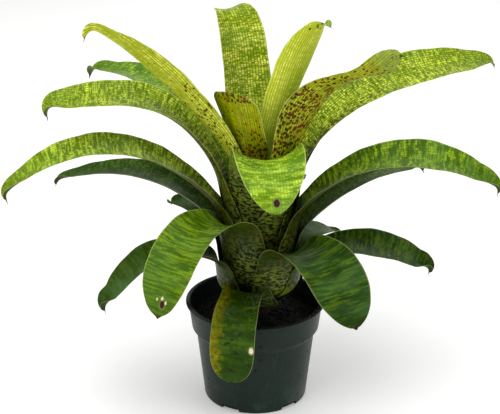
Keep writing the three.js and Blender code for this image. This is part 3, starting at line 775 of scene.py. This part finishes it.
def lattice():
    """Shader group for the light windows between the veins. Every column between two veins has a
    noise of its own along the leaf; a share of a noise that crosses the columns in arcs and a slow
    cloud are added, and where the sum is high the leaf is thin and bright. Net: the dark veins
    between columns and the dark bars across them, which cut the windows apart."""
    tree, given, made = new_group(
        "light_windows",
        {"Run": (0.0, 0.0, 0.0), "Across": 2.6, "Along": 3.4, "Shift": 0.0, "Plenty": 0.05,
         "Arcs": 0.4, "Ruled": 0.7},
        ["Windows", "Net"],
    )
    get = given.outputs
    bent = wander(tree, get["Run"], 4.0, 26.0)
    bent = wander(tree, bent, 1.2, 6.0)
    x, y = (add(tree, "SeparateXYZ", bent, out=i) for i in (0, 1))
    x = sums(tree, "ADD", sums(tree, "DIVIDE", x, get["Across"]), get["Shift"])
    y = sums(tree, "DIVIDE", y, get["Along"])
    column = sums(tree, "MULTIPLY", sums(tree, "FLOOR", x), 5.3)
    place = add(tree, "CombineXYZ", column, y, get["Shift"])
    own = add(tree, "TexNoise", place, None, 0.85, 2.0, 0.6)
    crossing = add(tree, "CombineXYZ", sums(tree, "MULTIPLY", x, 0.17), y, get["Shift"])
    arcs = add(tree, "TexNoise", crossing, None, 0.8, 2.0, 0.6)
    cloud = add(tree, "TexNoise", get["Run"], None, 0.05, 3.0, 0.6)
    lean = sums(tree, "MULTIPLY", sums(tree, "SUBTRACT", arcs, own), get["Arcs"])
    chance = sums(tree, "ADD", own, lean)
    chance = sums(tree, "ADD", chance, sums(tree, "MULTIPLY", cloud, 0.3))
    chance = sums(tree, "ADD", chance, get["Plenty"])
    side = sums(tree, "ABSOLUTE", sums(tree, "SUBTRACT", sums(tree, "FRACT", x), 0.5))
    veins = ramp(tree, side, 0.22, 0.46)
    shift = sums(tree, "ADD", sums(tree, "MULTIPLY", arcs, 4.0), sums(tree, "MULTIPLY", own, 1.4))
    level = sums(tree, "FRACT", sums(tree, "ADD", y, shift))
    bars = ramp(tree, sums(tree, "ABSOLUTE", sums(tree, "SUBTRACT", level, 0.5)), 0.14, 0.46)
    net = sums(tree, "MULTIPLY", sums(tree, "MAXIMUM", veins, bars), get["Ruled"])
    clear = sums(tree, "SUBTRACT", 1.0, net)
    window = sums(tree, "MULTIPLY", ramp(tree, chance, 0.59, 0.85), clear)
    fill(tree, made.inputs["Windows"], window)
    fill(tree, made.inputs["Net"], net)
    return tree


def long_stripes():
    """Shader group for the stripes along a leaf's back: a noise drawn out a hundredfold along the
    leaf, and the fine ribs between them as a wave across it."""
    tree, given, made = new_group(
        "long_stripes", {"Run": (0.0, 0.0, 0.0), "Pitch": 2.7, "Shift": 0.0}, ["Stripes", "Ribs"]
    )
    get = given.outputs
    bent = wander(tree, get["Run"], 1.6, 30.0)
    x, y = (add(tree, "SeparateXYZ", bent, out=i) for i in (0, 1))
    x = sums(tree, "DIVIDE", x, get["Pitch"])
    wave = sums(tree, "SINE", sums(tree, "MULTIPLY", x, 2 * math.pi))
    drawn = add(tree, "CombineXYZ", x, sums(tree, "MULTIPLY", y, 0.012), get["Shift"])
    uneven = add(tree, "TexNoise", drawn, None, 1.3, 2.0, 0.7)
    total = sums(tree, "ADD", sums(tree, "MULTIPLY", wave, 0.17), uneven)
    fill(tree, made.inputs["Stripes"], ramp(tree, total, 0.32, 0.72))
    fill(tree, made.inputs["Ribs"], wave)
    return tree


def blotches():
    """Shader group for dark spots: cells a little longer than wide whose random size, less their
    distance, gives a spot; neighbours run together where the spots are many. Rust: larger clouds
    broken up by the same wander. Mottle: short dark dashes across the leaf."""
    tree, given, made = new_group(
        "dark_spots",
        {"Run": (0.0, 0.0, 0.0), "Size": 2.2, "Many": 0.5, "Rusty": 0.5, "Shift": 0.0},
        ["Spots", "Rust", "Mottle"],
    )
    get = given.outputs
    bent = wander(tree, get["Run"], 2.2, 3.2)
    x, y = (add(tree, "SeparateXYZ", bent, out=i) for i in (0, 1))
    x = sums(tree, "DIVIDE", x, get["Size"])
    y = sums(tree, "DIVIDE", y, sums(tree, "MULTIPLY", get["Size"], 1.25))
    cell = add(tree, "CombineXYZ", x, y, get["Shift"])
    cells = tree.nodes.new("ShaderNodeTexVoronoi")
    fill(tree, cells.inputs["Vector"], cell)
    cells.inputs["Scale"].default_value = 1.0
    chance = add(tree, "SeparateColor", cells.outputs["Color"])
    cloud = ramp(tree, add(tree, "TexNoise", get["Run"], None, 0.09, 3.0, 0.6), 0.3, 0.7)
    plenty = sums(tree, "MULTIPLY", get["Many"], sums(tree, "MULTIPLY_ADD", cloud, 0.8, 0.6))
    size = sums(tree, "SUBTRACT", sums(tree, "ADD", plenty, 0.02), chance)
    size = ramp(tree, size, 0.0, 0.5, 0.0, 0.55)
    spots = ramp(tree, sums(tree, "SUBTRACT", size, cells.outputs["Distance"]), -0.02, 0.14)
    fill(tree, made.inputs["Spots"], spots)
    wide = add(tree, "TexNoise", bent, None, 0.11, 4.0, 0.65)
    edge = sums(tree, "SUBTRACT", 0.74, sums(tree, "MULTIPLY", get["Rusty"], 0.16))
    rust = ramp(tree, sums(tree, "SUBTRACT", wide, edge), 0.0, 0.08)
    fill(tree, made.inputs["Rust"], rust)
    x, y = sums(tree, "MULTIPLY", x, 0.45), sums(tree, "MULTIPLY", y, 1.2)
    dashes = add(tree, "TexNoise", add(tree, "CombineXYZ", x, y, get["Shift"]), None, 1.15, 1.0, 0.5)
    fill(tree, made.inputs["Mottle"], ramp(tree, dashes, 0.49, 0.55))
    return tree


def silver_scurf():
    """Shader group for the silver scales of a bromeliad: thin broken lines along the leaf, packed
    into cross bands, and single pale specks."""
    tree, given, made = new_group(
        "silver_scurf", {"Run": (0.0, 0.0, 0.0), "Shift": 0.0}, ["Scurf", "BloomAndSheen"]
    )
    get = given.outputs
    bent = wander(tree, get["Run"], 4.0, 12.0)
    x, y = (add(tree, "SeparateXYZ", bent, out=i) for i in (0, 1))
    drawn = add(tree, "CombineXYZ", x, sums(tree, "MULTIPLY", y, 0.22), get["Shift"])
    lines = ramp(tree, add(tree, "TexNoise", drawn, None, 0.95, 4.0, 0.75), 0.5, 0.64)
    packed = ramp(tree, add(tree, "TexNoise", bent, None, 0.06, 3.0, 0.6), 0.35, 0.7, 0.25, 1.0)
    fill(tree, made.inputs["Scurf"], sums(tree, "MULTIPLY", lines, packed))
    # Bloom: slow clouds of wax on the leaf, which the leaves also use as a painted grey sheen.
    wide = add(tree, "CombineXYZ", sums(tree, "MULTIPLY", x, 0.4), y, get["Shift"])
    bloom_and_sheen = ramp(tree, add(tree, "TexNoise", wide, None, 0.05, 4.0, 0.6), 0.38, 0.68)
    fill(tree, made.inputs["BloomAndSheen"], bloom_and_sheen)
    return tree


def dry_scar():
    """Shader group for one dead spot: a patch round a centre, ragged by noise, and its rim."""
    tree, given, made = new_group(
        "dry_scar", {"Run": (0.0, 0.0, 0.0), "Centre": (0.0, 0.0, 0.0), "Radius": 3.0}, ["Patch", "Rim"]
    )
    get = given.outputs
    long = (1.0, 0.75, 0.0)
    ragged = add(tree, "VectorMath", wander(tree, get["Run"], 2.4, 2.6), long, operation="MULTIPLY")
    middle = add(tree, "VectorMath", get["Centre"], long, operation="MULTIPLY")
    away = add(tree, "VectorMath", ragged, middle, operation="DISTANCE", out=1)
    away = sums(tree, "DIVIDE", away, get["Radius"])
    fill(tree, made.inputs["Patch"], ramp(tree, away, 1.0, 0.75))
    fill(tree, made.inputs["Rim"], ramp(tree, away, 1.7, 0.9))
    return tree


windows_group, stripes_group, spots_group = lattice(), long_stripes(), blotches()
scurf_group, scar_group = silver_scurf(), dry_scar()


# Pairs run from the innermost leaf to the outermost.
GREENS = ("#789a04", "#1e3c00")
WINDOWS = ("#cfe650", "#52701a")
BACKS = ("#6f8204", "#1e2e04")
STRIPES = ("#b4c040", "#3a4c10")
SHADE_GREEN = "#204000"
VEIN_GREEN = "#203c00"
WAX_AND_SHEEN = "#55804a"
DULL_GREEN = "#7a9444"
RUST = "#7d3d10"
SPOT_BLACK = "#1c0c06"
SPOT_BROWN = "#5a240a"
SHEATH_OLIVE = "#34430c"
SHEATH_PALE = "#6c7a1e"
SILVER = "#98a47a"
SHEATH_BLACK = "#070904"
MOTTLE_AND_SHADE_DARK = "#0a1004"
YELLOWED = "#948c00"
BURNT = "#7a4206"
MOULD = "#101804"
PALE_RIM_AND_HIGHLIGHT = "#c9cf9a"
DRY_TIP = "#3b2414"
SCAR_RIMS = ("#6b7a4a", "#b9b48c")
SCAR_PATCHES = ("#3a1c14", "#e4d8b0")


def mixed(first, second, share):
    """A colour written as #rrggbb part of the way from one to another."""
    a, b = (np.array([int(c[i : i + 2], 16) for i in (1, 3, 5)]) for c in (first, second))
    return "#%02x%02x%02x" % tuple(np.rint(a + (b - a) * share).astype(int).tolist())


def yellowed(tree, leaf, run, colour, mottle):
    """One margin of an old leaf gone yellow: a band ragged by noise, burnt and mouldy in places."""
    ragged = add(tree, "TexNoise", run, None, 0.16, 4.0, 0.65)
    patchy = add(tree, "TexNoise", run, None, 0.09, 3.0, 0.6)
    band = sums(tree, "ADD", add(tree, "SeparateXYZ", run), sums(tree, "MULTIPLY", ragged, 30.0))
    band = ramp(tree, band, 6.0, -6.0, 0.0, leaf["yellow"])
    band = sums(tree, "MULTIPLY", band, ramp(tree, patchy, 0.36, 0.56, 0.25, 1.0))
    colour = blend(tree, band, colour, tint(YELLOWED))
    burnt = ramp(tree, sums(tree, "ADD", ragged, sums(tree, "MULTIPLY", band, 0.16)), 0.62, 0.74)
    colour = blend(tree, sums(tree, "MULTIPLY", burnt, 0.55), colour, tint(BURNT))
    mouldy = sums(tree, "MULTIPLY", mottle, ramp(tree, patchy, 0.5, 0.62, 0.0, 0.7))
    return blend(tree, mouldy, colour, tint(MOULD))


def leaf_finish(leaf):
    """A leaf's own material. Upper face: green with light windows, clouds of wax that are partly a
    painted grey sheen, and towards the front freckles and mottle; the dark mottle near the sheath is
    partly painted shade in the cup. Back: yellow stripes on the blade, dark spots and rust, and on the
    sheath black mottle and silver scurf. Both: dry scars, a pale margin that is partly a painted
    highlight along the edge, and a dry tip."""
    age = leaf["order"] / LAST_ORDER
    seed = leaf["order"] * 7.3
    back_age = min(age * 1.6, 1)
    base = leaf.get("base", mixed(*GREENS, age))
    cell = leaf.get("cell", mixed(*WINDOWS, age))
    back = leaf.get("back", mixed(*BACKS, back_age))
    stripe = leaf.get("stripe", mixed(*STRIPES, back_age))
    finish, tree, shader = new_finish(leaf["name"] + "_blade", IOR=1.45, Specular_IOR_Level=0.09)
    run = add(tree, "Attribute", attribute_name="run", out=1)
    reach = add(tree, "Attribute", attribute_name="reach", out=2)
    under = ramp(tree, add(tree, "Attribute", attribute_name="under", out=2), 0.3, 0.7)
    margin = add(tree, "SeparateXYZ", run, out=2)
    run = add(tree, "VectorMath", run, (1.0, 1.0, 0.0), operation="MULTIPLY")
    shifted = add(tree, "VectorMath", run, (0.0, 0.0, seed), operation="ADD")
    cloud = add(tree, "TexNoise", shifted, None, 0.045, 4.0, 0.6)

    wide, long, arcs, ruled = leaf.get("cells", (3.0, 3.2, 0.4, 0.7))
    windows = use(tree, windows_group, Run=shifted, Across=wide, Along=long, Shift=seed,
                  Arcs=arcs, Ruled=ruled, Plenty=0.15 * leaf.get("glow", 0.7) - 0.06)
    stripes = use(tree, stripes_group, Run=shifted, Pitch=2.5, Shift=seed)
    scurf = use(tree, scurf_group, Run=shifted, Shift=seed)
    grown = leaf.get("spots", 0.35 + 0.2 * age)
    many = ramp(tree, reach, 0.75, -0.1, 0.3 * grown, 1.05 * grown)
    many = sums(tree, "MAXIMUM", many, ramp(tree, reach, 0.82, 1.0, 0.0, leaf.get("tip", 0.0)))
    spots = use(tree, spots_group, Run=shifted, Size=2.9, Many=many,
                Rusty=leaf.get("rust", 0.3), Shift=seed)
    dark = blend(tree, ramp(tree, cloud, 0.42, 0.6), tint(SPOT_BLACK), tint(SPOT_BROWN))

    shade = tint(mixed(base, SHADE_GREEN, 0.2))
    upper = blend(tree, ramp(tree, cloud, 0.35, 0.65), shade, tint(base))
    upper = blend(tree, windows["Net"], upper, tint(mixed(base, VEIN_GREEN, 0.6)))
    fade = ramp(tree, reach, 0.7, 1.0, 1.0, 0.35)
    upper = blend(tree, sums(tree, "MULTIPLY", windows["Windows"], fade), upper, tint(cell))
    # Wax bloom towards the outer part of the leaf, paler and duller: partly real wax, partly a painted
    # grey sheen.
    wax_and_sheen = sums(tree, "MULTIPLY", scurf["BloomAndSheen"], leaf.get("bloom_and_sheen", 0.25))
    wax_and_sheen = sums(tree, "MULTIPLY", wax_and_sheen, ramp(tree, reach, 0.15, 0.6))
    upper = blend(tree, wax_and_sheen, upper, tint(mixed(WAX_AND_SHEEN, base, 0.3)))

    checks = ramp(tree, windows["Windows"], 0.0, 0.7, 0.3, 1.0)
    checks = sums(tree, "MULTIPLY", stripes["Stripes"], checks)
    lower = blend(tree, checks, tint(back), tint(stripe))
    lower = blend(tree, sums(tree, "MULTIPLY", spots["Rust"], 0.75), lower, tint(RUST))
    lower = blend(tree, sums(tree, "MULTIPLY", spots["Spots"], 0.92), lower, dark)
    dull = ramp(tree, reach, 0.8, 0.9, 0.0, leaf.get("dull", 0.0))
    lower = blend(tree, dull, lower, tint(DULL_GREEN))

    # Which half of the leaf looks to the front: one side of the rib, by the leaf's bearing.
    front = -math.copysign(1.0, math.cos(math.radians(leaf["turn"])))
    facing = sums(tree, "MULTIPLY", add(tree, "SeparateXYZ", run), front)
    if leaf["order"] >= FIRST_MOTTLED:
        olive = blend(tree, ramp(tree, cloud, 0.3, 0.7), tint(SHEATH_OLIVE), tint(SHEATH_PALE))
        olive = blend(tree, sums(tree, "MULTIPLY", scurf["Scurf"], 0.6), olive, tint(SILVER))
        olive = blend(tree, sums(tree, "MULTIPLY", spots["Mottle"], 0.9), olive, tint(SHEATH_BLACK))
        lower = blend(tree, ramp(tree, reach, 0.12, -0.15), lower, olive)
        # Dark dashes on the upper face towards the sheath, reaching further on the side that faces the
        # front: partly the leaf's own mottle, partly painted shade where the leaf goes down into the cup.
        near = ramp(tree, facing, -10.0, 20.0, 0.0, 0.32)
        near = ramp(tree, sums(tree, "SUBTRACT", reach, near), 0.26, -0.14)
        mottle_and_shade = sums(tree, "MULTIPLY", spots["Mottle"], sums(tree, "MULTIPLY", near, 0.9))
        upper = blend(tree, mottle_and_shade, upper, tint(MOTTLE_AND_SHADE_DARK))
        hoary = sums(tree, "MULTIPLY", scurf["Scurf"], sums(tree, "MULTIPLY", near, 0.4))
        upper = blend(tree, hoary, upper, tint(SILVER))
    freckled = ramp(tree, facing, -2.0, 16.0, 0.0, leaf.get("freckles", 0.1))
    freckled = sums(tree, "MULTIPLY", freckled, ramp(tree, reach, 0.85, 0.35))
    upper = blend(tree, sums(tree, "MULTIPLY", spots["Spots"], freckled), upper, dark)
    colour = blend(tree, under, upper, lower)

    if leaf.get("yellow"):
        colour = yellowed(tree, leaf, run, colour, spots["Mottle"])
    for across, along, size, pale in leaf.get("scars", ()):
        scar = use(tree, scar_group, Run=run, Centre=(across, along, 0.0), Radius=size)
        colour = blend(tree, sums(tree, "MULTIPLY", scar["Rim"], 0.6), colour, tint(SCAR_RIMS[pale]))
        colour = blend(tree, scar["Patch"], colour, tint(SCAR_PATCHES[pale]))
    # A pale line along the blade's margin, weak on the sheath: partly the leaf's own pale edge, partly a
    # painted highlight along the edge.
    pale_margin_and_highlight = ramp(tree, margin, 0.955, 0.985, 0.0, 0.55)
    pale_margin_and_highlight = sums(tree, "MULTIPLY", pale_margin_and_highlight, ramp(tree, reach, -0.1, 0.3, 0.08, 1.0))
    colour = blend(tree, pale_margin_and_highlight, colour, tint(mixed(cell, PALE_RIM_AND_HIGHLIGHT, 0.6)))
    dry = ramp(tree, reach, 0.985, 1.004)
    fill(tree, shader.inputs["Base Color"], blend(tree, dry, colour, tint(DRY_TIP)))

    rough = ramp(tree, cloud, 0.3, 0.7, 0.34, 0.46)
    rough = sums(tree, "ADD", rough, sums(tree, "MULTIPLY", wax_and_sheen, 0.25))
    rough = sums(tree, "ADD", rough, sums(tree, "MULTIPLY", dry, 0.2), clamp=True)
    fill(tree, shader.inputs["Roughness"], rough)
    ribbed = sums(tree, "ADD", sums(tree, "MULTIPLY", stripes["Ribs"], 0.4), windows["Windows"])
    dent(tree, shader, ribbed, 0.25, 0.0003)
    return finish


for leaf in LEAVES:
    leaf_piece(leaf, leaf_finish(leaf))

# ---------------------------------------------------------------- floor, light and camera
# A pale seamless studio floor, a broad lamp overhead and in front, a fill from the right and a
# weak one from behind, and the camera a little above the plant.
FLOOR_REACH = 30.0
CAMERA_PLACE = (-0.006, -1.57, 0.86)
CAMERA_PITCH = 22.07
LENS = 112.75
SKY_STRENGTH = 0.5
PAPER_WHITES = ("#f4f4f2", "#f7f7f6")

floor_finish, tree, shader = new_finish("studio_floor", Specular_IOR_Level=0.1, Emission_Strength=0.2)
place = add(tree, "TexCoord", out=3)
paper = add(tree, "TexNoise", place, None, 3.0, 4.0)
fill(tree, shader.inputs["Base Color"], blend(tree, paper, *map(tint, PAPER_WHITES)))
fill(tree, shader.inputs["Roughness"], ramp(tree, paper, 0.3, 0.7, 0.85, 0.95))
form = bpy.data.meshes.new("studio_floor")
corners = [(x * FLOOR_REACH, y * FLOOR_REACH, 0) for x, y in ((-1, -1), (1, -1), (1, 1), (-1, 1))]
form.from_pydata(corners, [], [(0, 1, 2, 3)])
form.materials.append(floor_finish)
floor = bpy.data.objects.new("studio_floor", form)
bpy.context.scene.collection.objects.link(floor)

world = bpy.data.worlds.new("studio")
bpy.context.scene.world = world
world.use_nodes = True
sky = world.node_tree.nodes["Background"]
sky.inputs["Color"].default_value = tint("#ffffff")
sky.inputs["Strength"].default_value = SKY_STRENGTH


def lamp(name, place, aim, size, power):
    """A square soft lamp at a place, turned towards a point."""
    light = bpy.data.lights.new(name, "AREA")
    light.size, light.energy = size, power
    fixture = bpy.data.objects.new(name, light)
    bpy.context.scene.collection.objects.link(fixture)
    way = np.subtract(aim, place)
    fixture.location = place
    fixture.rotation_euler = (
        math.atan2(math.hypot(way[0], way[1]), -way[2]),
        0,
        math.atan2(way[1], way[0]) - math.pi / 2,
    )


lamp("overhead", (-0.3, -0.35, 1.9), (0, 0, 0.2), 1.6, 21)
lamp("front_left", (-1.4, -1.5, 1.1), (0, 0, 0.2), 1.2, 11)
lamp("right", (1.6, -0.5, 1.0), (0, 0, 0.2), 1.2, 7)
lamp("behind", (0.3, 1.6, 1.3), (0, 0, 0.25), 1.2, 7)

camera = bpy.data.objects.new("camera", bpy.data.cameras.new("camera"))
bpy.context.scene.collection.objects.link(camera)
camera.location = CAMERA_PLACE
camera.rotation_euler = (math.radians(90 - CAMERA_PITCH), 0, 0)
camera.data.lens = LENS
bpy.context.scene.camera = camera
bpy.context.scene.view_settings.view_transform = "Standard"
